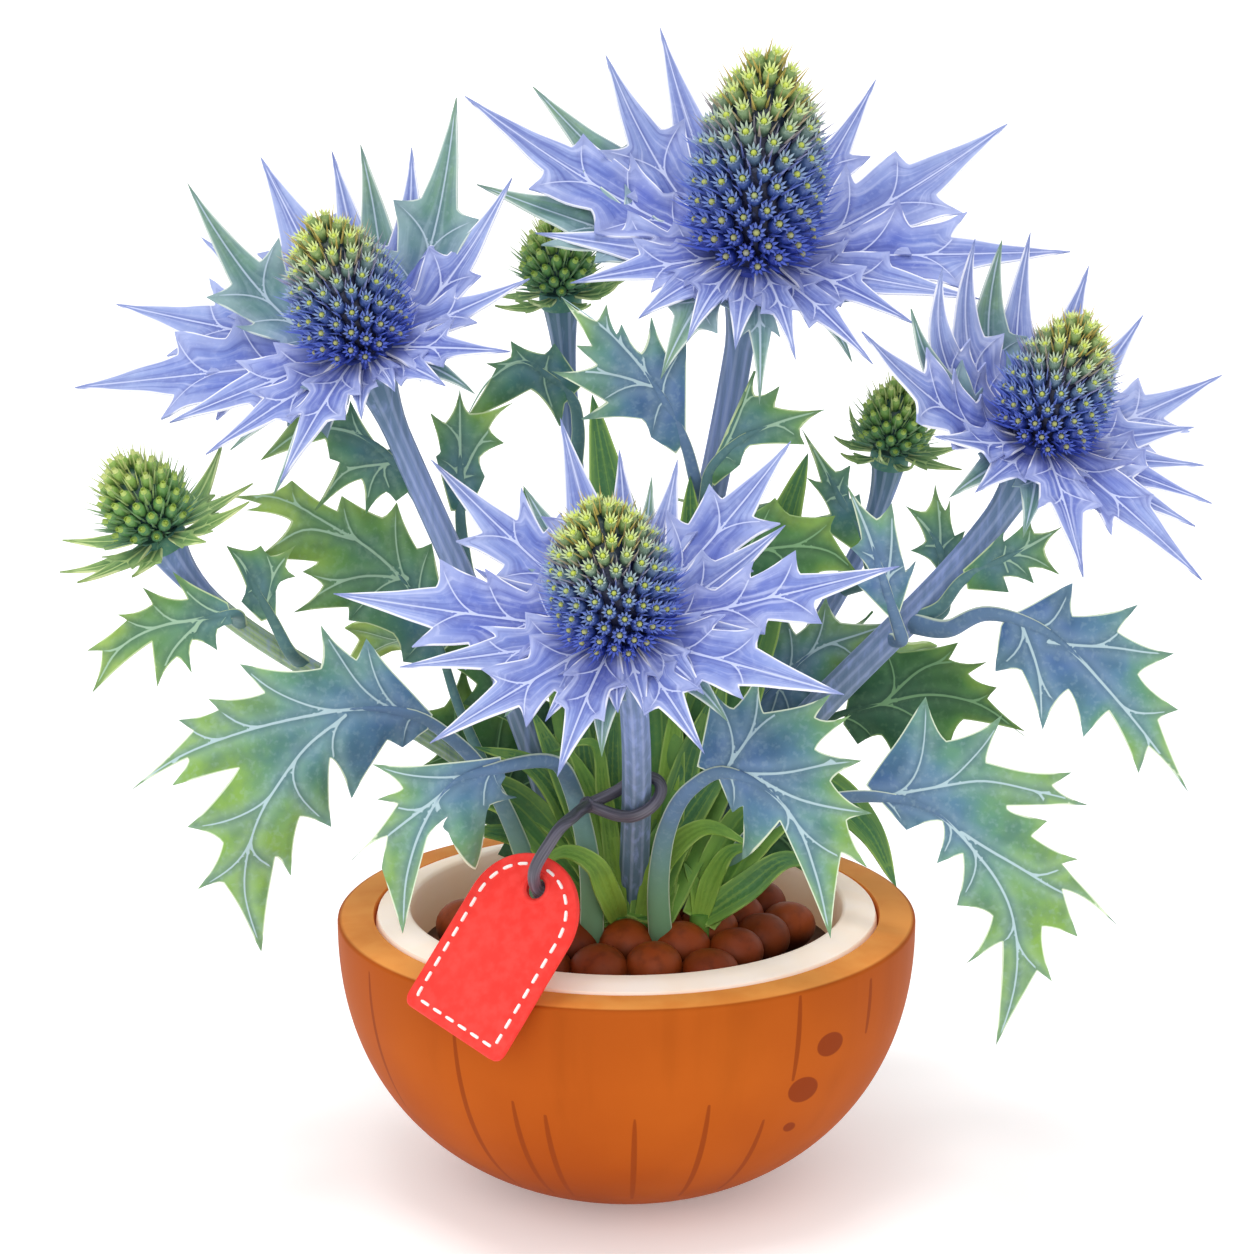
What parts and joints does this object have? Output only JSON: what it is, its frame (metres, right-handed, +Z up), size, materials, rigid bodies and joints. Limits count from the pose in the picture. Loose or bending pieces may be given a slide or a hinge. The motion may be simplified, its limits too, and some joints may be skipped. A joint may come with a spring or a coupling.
{
  "type": "potted sea holly plant",
  "caption": "Sea holly in a coconut half-shell of clay pebbles: blue thistle-like cones on ruffs of spiny bracts, green buds, toothed leaves and a swing tag tied to a stem.",
  "frame": {"origin": "centre of the flat foot under the shell, on the surface it stands on", "axes": "+Z up, -Y the front, where the tag hangs and the flower heads nod, +X to the right seen from the front"},
  "size_m": [0.2365, 0.159, 0.2384],
  "materials": {
    "shell": "satin",
    "flesh": "satin",
    "pebbles": "matte",
    "cone_blue": "matte",
    "cone_green": "matte",
    "bract": "satin",
    "bud_bract": "satin",
    "stem": "satin",
    "leaf": "satin",
    "strap": "satin",
    "tag": "satin",
    "cord": "satin"
  },
  "bodies": {
    "root": {"bracts_bud_left": "bud_bract", "bracts_bud_mid": "bud_bract", "bracts_bud_right": "bud_bract", "bracts_front": "bract", "bracts_left": "bract", "bracts_right": "bract", "bracts_top": "bract", "clay_pebbles": "pebbles", "coconut_flesh": "flesh", "coconut_shell": "shell", "cone_bud_left": "cone_green", "cone_bud_mid": "cone_green", "cone_bud_right": "cone_green", "cone_front": "cone_blue", "cone_left": "cone_blue", "cone_right": "cone_blue", "cone_top": "cone_blue", "leaf_back_high": "leaf", "leaf_back_left": "leaf", "leaf_back_mid": "leaf", "leaf_back_right": "leaf", "leaf_behind_right": "leaf", "leaf_beside_left": "leaf", "leaf_big_left": "leaf", "leaf_big_right": "leaf", "leaf_blue_right": "leaf", "leaf_bud_stalk": "leaf", "leaf_bud_upper": "leaf", "leaf_curled_right": "leaf", "leaf_dark_left": "leaf", "leaf_drooping": "leaf", "leaf_front_left": "leaf", "leaf_front_right": "leaf", "leaf_inner_right": "leaf", "leaf_low_left": "leaf", "leaf_low_right": "leaf", "leaf_mid_bud": "leaf", "leaf_mid_left": "leaf", "leaf_narrow_right": "leaf", "leaf_right_out": "leaf", "leaf_right_up": "leaf", "leaf_top_left": "leaf", "leaf_top_right": "leaf", "leaf_under_left": "leaf", "stem_bud_left": "stem", "stem_bud_mid": "stem", "stem_bud_right": "stem", "stem_front": "stem", "stem_left": "stem", "stem_right": "stem", "stem_top": "stem", "straps_centre": "strap", "straps_left": "strap", "straps_right": "strap", "swing_tag": "tag", "tag_cord": "cord"}
  },
  "joints": []
}
